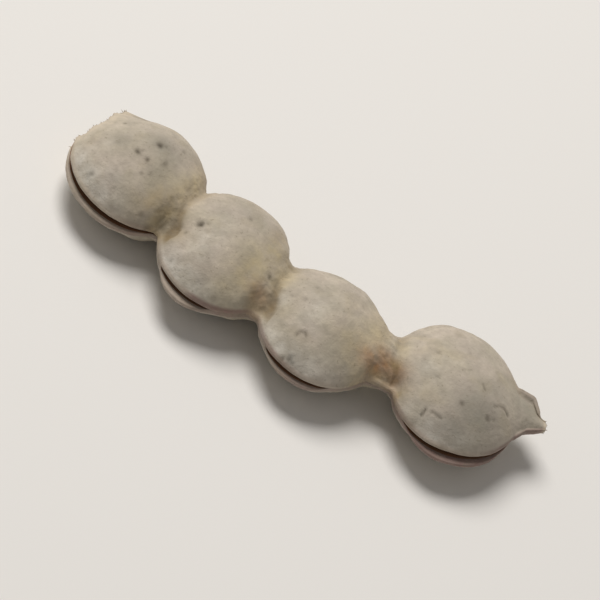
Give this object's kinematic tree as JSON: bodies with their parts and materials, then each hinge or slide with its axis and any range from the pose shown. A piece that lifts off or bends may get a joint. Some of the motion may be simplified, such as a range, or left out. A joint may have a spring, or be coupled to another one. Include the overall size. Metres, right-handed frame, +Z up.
{
  "type": "babul pod",
  "caption": "Dry beaded babul seed pod: flat round beads in a gentle bow, cracked open along the outer edge and broken off at each end.",
  "frame": {"origin": "on the surface that the pod rests on, under the middle of its bounding box", "axes": "+X along the pod from its broken stump to its torn beak, -Y towards its gaping outer edge, +Z up from its resting side"},
  "size_m": [0.0524, 0.0178, 0.0077],
  "materials": {
    "downy_husk": "matt grey-beige dried husk with a short felted down, mauve-brown along the edges of the valves"
  },
  "bodies": {
    "root": {"pod": "downy_husk"}
  },
  "joints": []
}
